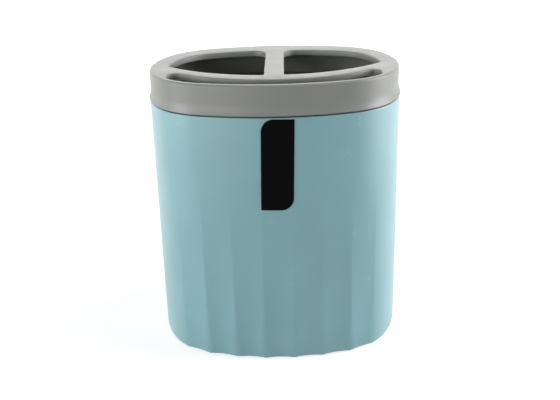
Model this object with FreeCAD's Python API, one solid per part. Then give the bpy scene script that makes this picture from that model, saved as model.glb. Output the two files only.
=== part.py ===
import FreeCAD, Part
import math
import os

from FreeCAD import Vector

# Sizes are in millimetres and angles in degrees. X runs across the front, the front faces -Y,
# Z is up, and the origin lies under the middle of the cup, on the surface that it stands on.

# Plan of the cup: an oval of eight tangent arcs
cup_width = 104.4
cup_depth = 82.0
corner_radius = 28.9
end_angle = 29.0
front_angle = 18.5

# Cup
cup_height = 105.5
wall = 1.8
inner_lean = 0.8
floor_thickness = 2.4
floor_round = 4.0
rim_bevel = 0.5
rim_chamfer = 0.4
base_round = 2.0
foot_width = 5.5
foot_height = 1.2
gate_diameter = 7.0
gate_depth = 0.5

# Flutes in the cup's wall, deepest at the base: some along the front and the back,
# and one more at each corner
flute_height = 75.0
flute_depth = 1.0
front_flutes = 5
corner_flute_angle = 23.5

# Lid: an outer band on the cup's rim, a plug inside the cup, and a plate on top
lid_height = 12.2
lid_inset = 0.55
lid_round = 1.0
flare_height = 4.8
lip_overhang = 0.35
lip_chamfer = 0.25
seam_height = 0.4
seam_depth = 0.7
plug_depth = 8.0
plug_wall = 0.95
plug_clearance = 0.3
plug_lead = 0.6
plate_thickness = 2.4

# Openings in the plate: a window behind a curved bar, halved by a bridge, and a slot before the bar
window_land = 8.0
window_shift = 4.2
bar_width = 8.4
bar_front_distance = 10.4
bridge_width = 8.0
back_corner_round = 6.0
tip_round = 1.2
slot_end_angle = 34.4
slot_end_gap = 11.6
slot_round = 3.0
opening_chamfer = 0.5

# Label on the upper front, turned a little, with two opposite corners rounded
label_width = 12.8
label_height = 36.8
label_thickness = 0.2
label_gap = 0.02
label_drop = 0.7
label_aside = 0.8
label_turn = 1.3
label_corner = 5.0

# How far cutting solids run past what they cut, and how near two places count as one
overrun = 2.0
closeness = 0.01

# Flat steps in the outer rounds, in the round about the floor and in the lid's flare
round_steps = 4
floor_steps = 2
flare_steps = 3

UP = Vector(0, 0, 1)
FORWARD = Vector(0, -1, 0)
RIGHT = Vector(1, 0, 0)
QUARTER_TURN = 90.0
HALF_TURN = 180.0

lid_top = cup_height + lid_height
lid_inner = wall + plug_clearance + plug_wall


def tangent_reaches():
    """Distances from the end and front arcs' centres to a corner arc's centre"""
    end = math.radians(end_angle)
    front = math.radians(front_angle)
    across = cup_width / 2 - corner_radius
    along = cup_depth / 2 - corner_radius
    end_rise = 1 - math.cos(end)
    front_rise = 1 - math.cos(front)
    scale = math.sin(end) * math.sin(front) - end_rise * front_rise
    end_reach = (along * math.sin(front) - across * front_rise) / scale
    front_reach = (across * math.sin(end) - along * end_rise) / scale
    return end_reach, front_reach


def plan_arcs():
    """The plan's arcs in turn: centre, radius, first and last angle, sweeps fluted or plain"""
    end_reach, front_reach = tangent_reaches()
    end_radius = end_reach + corner_radius
    front_radius = front_reach + corner_radius
    end_centre = Vector(cup_width / 2 - end_radius, 0, 0)
    back_centre = Vector(0, cup_depth / 2 - front_radius, 0)
    corner_x = front_reach * math.sin(math.radians(front_angle))
    corner_y = end_reach * math.sin(math.radians(end_angle))
    right_corner = Vector(corner_x, corner_y, 0)
    left_corner = Vector(-corner_x, corner_y, 0)
    to_back = QUARTER_TURN - front_angle
    past_back = QUARTER_TURN + front_angle
    end_sweeps = [(2 * end_angle, False)]
    front_sweeps = [(2 * front_angle / front_flutes, True)] * front_flutes
    corner_sweeps = [(to_back - end_angle - corner_flute_angle, False), (corner_flute_angle, True)]
    half = [
        (end_centre, end_radius, -end_angle, end_angle, end_sweeps),
        (right_corner, corner_radius, end_angle, to_back, corner_sweeps),
        (back_centre, front_radius, to_back, past_back, front_sweeps),
        (left_corner, corner_radius, past_back, HALF_TURN - end_angle, corner_sweeps[::-1]),
    ]
    other_half = [
        (-centre, radius, first + HALF_TURN, last + HALF_TURN, sweeps)
        for centre, radius, first, last, sweeps in half
    ]
    return half + other_half


def polar(centre, radius, angle, z):
    """A point at an angle round a centre, at height z"""
    turn = math.radians(angle)
    return centre + Vector(radius * math.cos(turn), radius * math.sin(turn), z)


def outline(offset, z):
    """The plan's outline at height z, offset outwards"""
    edges = []
    for centre, radius, first, last, sweeps in plan_arcs():
        angles = (first, (first + last) / 2, last)
        points = [polar(centre, radius + offset, angle, z) for angle in angles]
        edges.append(Part.Arc(*points).toShape())
    return Part.Wire(edges)


def fluted_outline(offset, z, depth):
    """The plan's outline with its flutes, each hollowed by depth in its middle"""
    edges = []
    for centre, radius, first, last, sweeps in plan_arcs():
        start = first
        for sweep, fluted in sweeps:
            hollow = depth if fluted else 0
            ridge = polar(centre, radius + offset, start, z)
            middle = polar(centre, radius + offset - hollow, start + sweep / 2, z)
            next_ridge = polar(centre, radius + offset, start + sweep, z)
            edges.append(Part.Arc(ridge, middle, next_ridge).toShape())
            start += sweep
    return Part.Wire(edges)


def quarter_round(radius, steps):
    """Steps round an edge, from the side to the end: inset from the side, distance from the end"""
    turns = [math.radians(QUARTER_TURN * step / steps) for step in range(steps + 1)]
    return [(radius * (1 - math.cos(turn)), radius * (1 - math.sin(turn))) for turn in turns]


def prism(wire, height):
    """A straight solid on a flat outline"""
    return Part.Face(wire).extrude(UP * height)


def cup_body(offset):
    """The cup's outer form, grown by offset: plain above, and fluted ever deeper towards the base"""
    sections = []
    for inset, rise in reversed(quarter_round(base_round, round_steps)):
        depth = flute_depth * (1 - rise / flute_height)
        sections.append(fluted_outline(offset - inset, rise, depth))
    sections.append(fluted_outline(offset, flute_height, 0))
    sections.append(fluted_outline(offset, cup_height - rim_bevel, 0))
    sections.append(fluted_outline(offset - rim_bevel, cup_height, 0))
    return Part.makeLoft(sections, True, True)


def cup_hollow():
    """The space inside the cup, with a rounded edge round its floor"""
    floor = foot_height + floor_thickness
    sections = []
    for inset, rise in reversed(quarter_round(floor_round, floor_steps)):
        sections.append(outline(-wall - inner_lean - inset, floor + rise))
    sections.append(outline(-wall, cup_height - rim_chamfer))
    sections.append(outline(rim_chamfer - wall, cup_height))
    sections.append(outline(rim_chamfer - wall, cup_height + overrun))
    return Part.makeLoft(sections, True, True)


def make_cup():
    recess = prism(outline(-foot_width, -overrun), overrun + foot_height)
    gate = Part.makeCylinder(gate_diameter / 2, foot_height + gate_depth)
    return cup_body(0).cut([cup_hollow(), recess, gate])


def flare_points():
    """Half section of the hollow flare above the lip, from the lip up to the side"""
    width = lip_overhang + lid_inset
    drop = flare_height - seam_height - lip_chamfer
    radius = (width ** 2 + drop ** 2) / (2 * width)
    sweep = math.asin(drop / radius)
    points = []
    for step in range(flare_steps + 1):
        turn = sweep * (1 - step / flare_steps)
        offset = radius * (1 - math.cos(turn)) - lid_inset
        points.append(Vector(offset, 0, cup_height + flare_height - radius * math.sin(turn)))
    return points


def lid_profile():
    """Half section of the lid's band, seam groove and plug: X is the offset from the plan"""
    plug_face = -wall - plug_clearance
    plug_foot = cup_height - plug_depth
    points = [
        Vector(-lid_inner, 0, plug_foot),
        Vector(plug_face - plug_lead / 2, 0, plug_foot),
        Vector(plug_face, 0, plug_foot + plug_lead),
        Vector(plug_face, 0, cup_height),
        Vector(-seam_depth, 0, cup_height),
        Vector(-seam_depth, 0, cup_height + seam_height),
        Vector(lip_overhang - lip_chamfer, 0, cup_height + seam_height),
    ]
    points.extend(flare_points())
    for inset, drop in quarter_round(lid_round, round_steps):
        points.append(Vector(-lid_inset - inset, 0, lid_top - drop))
    points.append(Vector(-lid_inner, 0, lid_top))
    return Part.Face(Part.makePolygon(points + points[:1]))


def oval_ring(profile):
    """A ring with one profile all round the plan, turned about the centre of each arc"""
    pieces = []
    for centre, radius, first, last, sweeps in plan_arcs():
        piece = profile.translated(Vector(radius, 0, 0))
        piece.rotate(Vector(), UP, first)
        piece.translate(centre)
        pieces.append(piece.revolve(centre, UP, last - first))
    return pieces[0].fuse(pieces[1:]).removeSplitter()


def round_upright_edges(solid, radius, chosen):
    """Rounds the upright edges whose middle the chosen test picks"""
    picked = []
    for edge in solid.Edges:
        box = edge.BoundBox
        upright = box.ZLength > max(box.XLength, box.YLength)
        if upright and chosen(box.Center):
            picked.append(edge)
    return solid.makeFillet(radius, picked)


def slot_end():
    """Where the slot ends on the right: a point of the lid's inner wall at the front corner"""
    centre, radius, first, last, sweeps = plan_arcs()[-1]
    return polar(centre, radius - lid_inner, -slot_end_angle, 0)


def bar_disc(setback, bottom, height):
    """A round solid whose rim is the bar's curved front, moved back by the setback"""
    front = bar_front_distance - cup_depth / 2
    end = slot_end()
    rise = end.y + slot_end_gap - front
    radius = (end.x ** 2 + rise ** 2) / (2 * rise)
    return Part.makeCylinder(radius, height, Vector(0, front + radius + setback, bottom))


def right_brush_opening(bottom, height):
    """The window to the right of the bridge, as far forward as the bar"""
    bridge_side = bridge_width / 2
    right_half = Part.makeBox(cup_width, 2 * cup_depth, height, Vector(bridge_side, -cup_depth, bottom))
    window = prism(outline(-window_land, bottom), height).translated(FORWARD * window_shift)
    opening = window.common(right_half).common(bar_disc(bar_width, bottom, height))
    tip_x = opening.BoundBox.XMax - tip_round

    def at_back(point):
        return point.x < bridge_side + closeness and point.y > 0

    def at_front(point):
        return point.x < bridge_side + closeness and point.y < 0

    def at_tip(point):
        return point.x > tip_x

    opening = round_upright_edges(opening, back_corner_round, at_back)
    opening = round_upright_edges(opening, tip_round, at_front)
    return round_upright_edges(opening, tip_round, at_tip)


def front_slot(bottom, height):
    """The slot between the bar and the lid's front wall"""
    end_x = slot_end().x
    middle = Part.makeBox(2 * end_x, cup_depth, height, Vector(-end_x, -cup_depth, bottom))
    slot = prism(outline(-lid_inner, bottom), height).common(middle)
    slot = slot.cut(bar_disc(0, bottom, height))
    return round_upright_edges(slot, slot_round, lambda point: abs(point.x) > end_x - closeness)


def bevel_openings(lid):
    """Takes off the upper edges of the openings in the lid's top face"""
    tops = [face for face in lid.Faces if face.BoundBox.ZMin > lid_top - closeness]
    top = max(tops, key=lambda face: face.Area)
    edges = []
    for wire in top.Wires:
        if not wire.isSame(top.OuterWire):
            edges.extend(wire.Edges)
    return lid.makeChamfer(opening_chamfer, edges)


def make_lid():
    plate_bottom = lid_top - plate_thickness
    plate = prism(outline(-lid_inner, plate_bottom), plate_thickness)
    lid = oval_ring(lid_profile()).fuse(plate).removeSplitter()
    bottom = plate_bottom - overrun
    height = plate_thickness + 2 * overrun
    right = right_brush_opening(bottom, height)
    left = right.mirror(Vector(), RIGHT)
    return bevel_openings(lid.cut([left, right, front_slot(bottom, height)]))


def make_label():
    """A thin sheet on the cup's front, cut to the label's outline"""
    sheet = cup_body(label_gap + label_thickness).cut(cup_body(label_gap))
    half = label_width / 2
    top = cup_height - label_drop
    bottom = top - label_height
    block = Part.makeBox(label_width, cup_depth / 2 + overrun, label_height)
    block.translate(Vector(-half, -cup_depth / 2 - overrun, bottom))
    corners = []
    for edge in block.Edges:
        middle = edge.BoundBox.Center
        runs_back = edge.BoundBox.YLength > half
        top_left = middle.x < 0 and middle.z > (top + bottom) / 2
        bottom_right = middle.x > 0 and middle.z < (top + bottom) / 2
        if runs_back and (top_left or bottom_right):
            corners.append(edge)
    block = block.makeFillet(label_corner, corners)
    block.rotate(Vector(0, 0, (top + bottom) / 2), FORWARD, -label_turn)
    block.translate(Vector(label_aside, 0, 0))
    return sheet.common(block)


os.makedirs("parts", exist_ok=True)
for name, shape in (("cup", make_cup()), ("lid", make_lid()), ("label", make_label())):
    print(name, shape.isValid(), len(shape.Solids), round(shape.Volume, 2))
    shape.exportStep("parts/" + name + ".step")
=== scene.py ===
import math

import bpy
from mathutils import Matrix, Vector

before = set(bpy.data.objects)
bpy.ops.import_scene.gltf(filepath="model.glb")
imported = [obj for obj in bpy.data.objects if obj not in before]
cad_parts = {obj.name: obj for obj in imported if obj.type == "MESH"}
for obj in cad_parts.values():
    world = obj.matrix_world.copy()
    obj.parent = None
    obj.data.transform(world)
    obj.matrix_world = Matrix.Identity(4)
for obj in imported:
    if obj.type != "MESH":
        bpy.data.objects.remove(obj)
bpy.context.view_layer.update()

MM = 0.001
scene = bpy.context.scene
scene.view_settings.view_transform = "Standard"

# Colours, as linear values
CUP_BLUE = (0.185, 0.384, 0.42)
CUP_SCUFF = (0.4, 0.55, 0.57)
# Painted shade: a greyer, darker copy of the cup blue for the faces inside the cup, where it lies in
# shade
CUP_INSIDE_SHADE = (0.215, 0.31, 0.315)
LID_GREY = (0.208, 0.215, 0.198)
LABEL_BLACK = (0.002, 0.002, 0.002)
WHITE = (1, 1, 1, 1)

# Roughness of each piece, and the weight of the clear coat on the mouldings
CUP_ROUGHNESS = 0.42
CUP_COAT = 0.7
LID_ROUGHNESS = 0.44
LID_COAT = 0.25
LABEL_ROUGHNESS = 0.4

# Moulded plastic: cloudy colour, gloss marks drawn out upwards, shallow waves and a fine grain
CLOUDS = {"Scale": 38.0, "Detail": 3.0, "Roughness": 0.55}
CLOUD_LIMITS = (0.3, 0.7)
CLOUD_CONTRAST = 0.045
MARKS = {"Scale": 160.0, "Detail": 5.0, "Roughness": 0.6}
MARK_STRETCH = (1.0, 1.0, 0.28)
MARK_LIMITS = (0.3, 0.7)
MARK_GLOSS = 0.05
WAVES = {"Scale": 55.0, "Detail": 2.0, "Roughness": 0.5}
WAVE_RELIEF = {"Strength": 0.12, "Distance": 1.2 * MM}
GRAIN = {"Scale": 2600.0, "Detail": 2.0, "Roughness": 0.5}
GRAIN_RELIEF = {"Strength": 0.25, "Distance": 0.08 * MM}
PLASTIC_COAT_ROUGHNESS = 0.36
PLASTIC_SPECULAR = 0.5
PLASTIC_IOR = 1.49

# Pale scuffs on the cup: flecks, and the patches in which they lie
FLECKS = {"Scale": 520.0, "Detail": 4.0, "Roughness": 0.65}
FLECK_LIMITS = (0.56, 0.66)
FLECK_STRENGTH = 0.5
PATCHES = {"Scale": 75.0, "Detail": 1.0}
PATCH_LIMITS = (0.66, 0.74)

# The label's film: smudges and a faint orange-peel
SMUDGES = {"Scale": 240.0, "Detail": 4.0, "Roughness": 0.6}
SMUDGE_LIMITS = (0.35, 0.65)
SMUDGE_CONTRAST = 0.1
SMUDGE_GLOSS = 0.08
PEEL = {"Scale": 900.0, "Detail": 1.0}
PEEL_RELIEF = {"Strength": 0.08, "Distance": 0.05 * MM}
FILM_SPECULAR = 0.03

# A face of the cup is inside where it looks towards the upright axis, at a point this far above it
INSIDE_RISE = 20 * MM

# Where the lid meets the cup, how far from there the painted shade reaches and how dark it is
SEAM_HEIGHT = 105.5 * MM
SEAM_REACH = 0.3 * MM
SEAM_PAINTED_SHADE = (0.35, 0.36, 0.36)

# Points of the CAD faces nearer than this are joined, and edges wider than these angles stay sharp
JOIN_DISTANCE = 0.001 * MM
MOULDING_SHARP = math.radians(55)
SHEET_SHARP = math.radians(30)

# Camera, from the outline of the object in the photograph
PHOTO_WIDTH = 560
FOCAL_PIXELS = 808.0
SENSOR_WIDTH = 36.0
CLIP_START = 10 * MM
CAMERA_DISTANCE = 359.06 * MM
CAMERA_ELEVATION = math.radians(21.225)
CAMERA_ROLL = math.radians(1.319)
CAMERA_TURN = math.radians(0.514)
CAMERA_TARGET = Vector((1.073 * MM, 0, 56.431 * MM))

# Softboxes: name, place, width, height and power; all point at the middle of the object
LAMPS = (
    ("lamp_top", (0, 0.12, 0.9), 0.9, 0.9, 1.5),
    ("lamp_left", (-0.75, -0.3, 0.2), 0.45, 0.6, 4.8),
    ("lamp_left_back", (-0.7, 0.4, 0.3), 0.5, 0.8, 1.2),
    ("lamp_right", (0.78, 0.08, 0.3), 0.5, 0.8, 6.8),
    ("lamp_right_front", (0.75, -0.12, 0.3), 0.25, 0.8, 3.0),
    ("lamp_back", (0, 1.0, 0.35), 1.4, 0.6, 3.6),
    ("lamp_front", (-0.5, -0.8, 0.2), 0.4, 0.4, 2.55),
)
AIM = (0, 0, 0.06)

# Floor: half its side, how far it lies under the foot, its colour, and the glow that makes it white
# to the camera, with the distances from the middle at which the glow begins to grow and is full
FLOOR_HALF = 6.0
FLOOR_DROP = 0.05 * MM
FLOOR_GREY = (0.5, 0.5, 0.5, 1)
FLOOR_GLOW = (0.7, 1.0)
FLOOR_GLOW_REACH = (0.08, 0.4)


class Graph:
    """A short way to add nodes and links to one node tree"""

    def __init__(self, tree):
        self.tree = tree

    def feed(self, socket, value):
        """Links an output to an input, or sets the input to a plain value"""
        if isinstance(value, bpy.types.NodeSocket):
            self.tree.links.new(value, socket)
        else:
            socket.default_value = value

    def add(self, kind, settings=None, ordered=(), **named):
        """A new node, with its inputs given in order or by name"""
        node = self.tree.nodes.new(kind)
        for key, value in (settings or {}).items():
            setattr(node, key, value)
        for index, value in enumerate(ordered):
            self.feed(node.inputs[index], value)
        for key, value in named.items():
            self.feed(node.inputs[key.replace("_", " ")], value)
        return node

    def compute(self, operation, *values):
        """The result of one operation on numbers"""
        return self.add("ShaderNodeMath", {"operation": operation}, values).outputs[0]

    def vector(self, operation, *values, result="Vector"):
        """The result of one operation on vectors"""
        return self.add("ShaderNodeVectorMath", {"operation": operation}, values).outputs[result]

    def noise(self, place, settings):
        """A noise pattern"""
        return self.add("ShaderNodeTexNoise", Vector=place, **settings).outputs["Fac"]

    def stretched(self, value, before, after):
        """A value stretched from one pair of limits to another"""
        node = self.add(
            "ShaderNodeMapRange",
            Value=value,
            From_Min=before[0],
            From_Max=before[1],
            To_Min=after[0],
            To_Max=after[1],
        )
        return node.outputs["Result"]

    def blended(self, amount, shade, colour, blend="MIX"):
        """A shade with a plain colour blended over it"""
        node = self.add("ShaderNodeMix", {"data_type": "RGBA", "blend_type": blend}, Factor=amount)
        self.feed(node.inputs["A"], shade)
        self.feed(node.inputs["B"], (*colour, 1))
        return node.outputs["Result"]

    def clouded(self, pattern, colour, limits, contrast):
        """A colour that runs from a little darker to a little paler over a pattern"""
        node = self.add("ShaderNodeValToRGB", Fac=pattern)
        factors = (1 - contrast, 1 + contrast)
        for stop, limit, factor in zip(node.color_ramp.elements, limits, factors):
            stop.position = limit
            stop.color = (*(channel * factor for channel in colour), 1)
        return node.outputs["Color"]


def new_material(name):
    """An empty material and its graph"""
    material = bpy.data.materials.new(name)
    material.use_nodes = True
    material.node_tree.nodes.clear()
    return material, Graph(material.node_tree)


def painted_inside_shade(graph, coordinates, shade, colour):
    """The colour, with a greyer, darker painted shade on the faces that look towards the upright axis
    or up
    """
    outward = graph.vector("MULTIPLY", coordinates["Object"], (1, 1, 0))
    lowered = graph.vector("SUBTRACT", outward, (0, 0, INSIDE_RISE))
    facing = graph.vector("DOT_PRODUCT", lowered, coordinates["Normal"], result="Value")
    inner = graph.compute("LESS_THAN", facing, 0.0)
    return graph.blended(inner, shade, colour)


def scuffed(graph, place, shade, colour):
    """The shade with a few pale scuffs, which lie together in small patches"""
    fleck = graph.stretched(graph.noise(place, FLECKS), FLECK_LIMITS, (0.0, FLECK_STRENGTH))
    patch = graph.stretched(graph.noise(place, PATCHES), PATCH_LIMITS, (0.0, 1.0))
    amount = graph.compute("MULTIPLY", fleck, patch)
    return graph.blended(amount, shade, colour)


def painted_seam_shade(graph, place, shade):
    """The colour, darkened by painted shade along the seam between the cup and the lid"""
    height = graph.add("ShaderNodeSeparateXYZ", Vector=place).outputs["Z"]
    above = graph.compute("SUBTRACT", height, SEAM_HEIGHT)
    away = graph.compute("ABSOLUTE", above)
    near = graph.compute("LESS_THAN", away, SEAM_REACH)
    # Painted shade: the colour is multiplied darker in a thin band at the seam, standing in for its
    # shadow
    return graph.blended(near, shade, SEAM_PAINTED_SHADE, "MULTIPLY")


def moulded_plastic(name, colour, roughness, coat, inside_shade=None, scuff=None):
    """Satin moulded plastic: cloudy colour, a fine spark-eroded grain and faint handling marks"""
    material, graph = new_material(name)
    coordinates = graph.add("ShaderNodeTexCoord").outputs
    place = coordinates["Object"]
    shade = graph.clouded(graph.noise(place, CLOUDS), colour, CLOUD_LIMITS, CLOUD_CONTRAST)
    # Painted shade on the faces inside the cup
    if inside_shade:
        shade = painted_inside_shade(graph, coordinates, shade, inside_shade)
    if scuff:
        shade = scuffed(graph, place, shade, scuff)
    # Painted shade along the seam between the lid and the cup
    shade = painted_seam_shade(graph, place, shade)
    drawn_out = graph.add("ShaderNodeMapping", Vector=place, Scale=MARK_STRETCH).outputs["Vector"]
    marks = graph.noise(drawn_out, MARKS)
    gloss = graph.stretched(marks, MARK_LIMITS, (roughness - MARK_GLOSS, roughness + MARK_GLOSS))
    waves = graph.add("ShaderNodeBump", Height=graph.noise(place, WAVES), **WAVE_RELIEF)
    grain = graph.add(
        "ShaderNodeBump",
        Height=graph.noise(place, GRAIN),
        Normal=waves.outputs["Normal"],
        **GRAIN_RELIEF,
    )
    shader = graph.add(
        "ShaderNodeBsdfPrincipled",
        Base_Color=shade,
        Roughness=gloss,
        Normal=grain.outputs["Normal"],
    )
    shader.inputs["Coat Weight"].default_value = coat
    shader.inputs["Coat Roughness"].default_value = PLASTIC_COAT_ROUGHNESS
    shader.inputs["Specular IOR Level"].default_value = PLASTIC_SPECULAR
    shader.inputs["IOR"].default_value = PLASTIC_IOR
    graph.add("ShaderNodeOutputMaterial", Surface=shader.outputs["BSDF"])
    return material


def plain_film(name, colour, roughness):
    """A smooth plain film: nearly even colour, a faint orange-peel and smudges"""
    material, graph = new_material(name)
    place = graph.add("ShaderNodeTexCoord").outputs["Object"]
    smudge = graph.noise(place, SMUDGES)
    gloss = graph.stretched(smudge, (0.0, 1.0), (roughness - SMUDGE_GLOSS, roughness + SMUDGE_GLOSS))
    peel = graph.add("ShaderNodeBump", Height=graph.noise(place, PEEL), **PEEL_RELIEF)
    shader = graph.add(
        "ShaderNodeBsdfPrincipled",
        Base_Color=graph.clouded(smudge, colour, SMUDGE_LIMITS, SMUDGE_CONTRAST),
        Roughness=gloss,
        Normal=peel.outputs["Normal"],
    )
    shader.inputs["Specular IOR Level"].default_value = FILM_SPECULAR
    graph.add("ShaderNodeOutputMaterial", Surface=shader.outputs["BSDF"])
    return material


def smooth_rounds(name, sharp_angle):
    """Geometry nodes that join the CAD faces and shade them smooth, apart from the sharp edges"""
    tree = bpy.data.node_groups.new(name, "GeometryNodeTree")
    tree.interface.new_socket("Geometry", in_out="INPUT", socket_type="NodeSocketGeometry")
    tree.interface.new_socket("Geometry", in_out="OUTPUT", socket_type="NodeSocketGeometry")
    graph = Graph(tree)
    source = graph.add("NodeGroupInput").outputs[0]
    joined = graph.add("GeometryNodeMergeByDistance", Geometry=source, Distance=JOIN_DISTANCE)
    angle = graph.add("GeometryNodeInputMeshEdgeAngle").outputs["Unsigned Angle"]
    sharp = graph.compute("GREATER_THAN", angle, sharp_angle)
    smooth = graph.compute("SUBTRACT", 1.0, sharp)
    faces = graph.add("GeometryNodeSetShadeSmooth", {"domain": "FACE"}, Geometry=joined.outputs[0])
    edges = graph.add(
        "GeometryNodeSetShadeSmooth",
        {"domain": "EDGE"},
        Geometry=faces.outputs[0],
        Shade_Smooth=smooth,
    )
    graph.add("NodeGroupOutput", ordered=(edges.outputs[0],))
    return tree


def dress(node, material, sharp_angle):
    """Gives a CAD node its material and smooth rounds"""
    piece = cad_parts[node]
    piece.data.materials.clear()
    piece.data.materials.append(material)
    smooth = piece.modifiers.new("smooth_rounds", "NODES")
    smooth.node_group = smooth_rounds("smooth_" + node, sharp_angle)
    weighted = piece.modifiers.new("weighted_normals", "WEIGHTED_NORMAL")
    weighted.keep_sharp = True


def add_camera():
    """A camera before the object, a little above it, rolled as the photograph is"""
    sine = math.sin(CAMERA_ELEVATION)
    cosine = math.cos(CAMERA_ELEVATION)
    right = Vector((1, 0, 0))
    up = Vector((0, sine, cosine))
    back = Vector((0, -cosine, sine))
    rolled_right = right * math.cos(CAMERA_ROLL) - up * math.sin(CAMERA_ROLL)
    rolled_up = up * math.cos(CAMERA_ROLL) + right * math.sin(CAMERA_ROLL)
    matrix = Matrix((rolled_right, rolled_up, back)).transposed().to_4x4()
    matrix.translation = CAMERA_TARGET + back * CAMERA_DISTANCE
    data = bpy.data.cameras.new("camera")
    data.sensor_fit = "HORIZONTAL"
    data.sensor_width = SENSOR_WIDTH
    data.lens = FOCAL_PIXELS / PHOTO_WIDTH * SENSOR_WIDTH
    data.clip_start = CLIP_START
    camera = bpy.data.objects.new("camera", data)
    camera.matrix_world = Matrix.Rotation(CAMERA_TURN, 4, "Z") @ matrix
    scene.collection.objects.link(camera)
    scene.camera = camera


def directly_seen(graph):
    """One for what the camera sees, straight or in a reflection or through glass, and otherwise zero"""
    path = graph.add("ShaderNodeLightPath").outputs
    seen = graph.compute("MAXIMUM", path["Is Camera Ray"], path["Is Glossy Ray"])
    return graph.compute("MAXIMUM", seen, path["Is Transmission Ray"])


def add_world():
    """A white surround that only the camera and reflections see, so that the lamps alone give light"""
    world = bpy.data.worlds.new("studio")
    world.use_nodes = True
    world.node_tree.nodes.clear()
    graph = Graph(world.node_tree)
    sky = graph.add("ShaderNodeBackground", Color=WHITE, Strength=directly_seen(graph))
    graph.add("ShaderNodeOutputWorld", Surface=sky.outputs[0])
    scene.world = world


def add_floor():
    """A pale floor, white to the camera, that takes the object's soft shadow"""
    signs = ((-1, -1), (1, -1), (1, 1), (-1, 1))
    corners = [(x * FLOOR_HALF, y * FLOOR_HALF, -FLOOR_DROP) for x, y in signs]
    mesh = bpy.data.meshes.new("floor")
    mesh.from_pydata(corners, [], [(0, 1, 2, 3)])
    floor = bpy.data.objects.new("floor", mesh)
    scene.collection.objects.link(floor)
    material, graph = new_material("floor_white")
    matte = graph.add("ShaderNodeBsdfDiffuse", Color=FLOOR_GREY).outputs[0]
    place = graph.add("ShaderNodeTexCoord").outputs["Object"]
    away = graph.vector("LENGTH", place, result="Value")
    glow = graph.stretched(away, FLOOR_GLOW_REACH, FLOOR_GLOW)
    bright = graph.add("ShaderNodeEmission", Color=WHITE, Strength=glow).outputs[0]
    lit = graph.add("ShaderNodeAddShader", ordered=(matte, bright)).outputs[0]
    mixed = graph.add("ShaderNodeMixShader", ordered=(directly_seen(graph), matte, lit))
    graph.add("ShaderNodeOutputMaterial", Surface=mixed.outputs[0])
    mesh.materials.append(material)


def add_softbox(name, place, width, height, power):
    """A soft rectangular lamp that points at the object"""
    data = bpy.data.lights.new(name, "AREA")
    data.shape = "RECTANGLE"
    data.size = width
    data.size_y = height
    data.energy = power
    lamp = bpy.data.objects.new(name, data)
    lamp.location = place
    lamp.rotation_euler = (Vector(AIM) - Vector(place)).to_track_quat("-Z", "Y").to_euler()
    lamp.visible_camera = False
    scene.collection.objects.link(lamp)


# Studio
add_camera()
add_world()
add_floor()
for lamp in LAMPS:
    add_softbox(*lamp)

# Looks of the three pieces
cup_plastic = moulded_plastic(
    "cup_plastic_look", CUP_BLUE, CUP_ROUGHNESS, CUP_COAT, CUP_INSIDE_SHADE, CUP_SCUFF
)
lid_plastic = moulded_plastic("lid_plastic_look", LID_GREY, LID_ROUGHNESS, LID_COAT)
label_vinyl = plain_film("label_vinyl_look", LABEL_BLACK, LABEL_ROUGHNESS)

dress("cup", cup_plastic, MOULDING_SHARP)
dress("lid", lid_plastic, MOULDING_SHARP)
dress("label", label_vinyl, SHEET_SHARP)
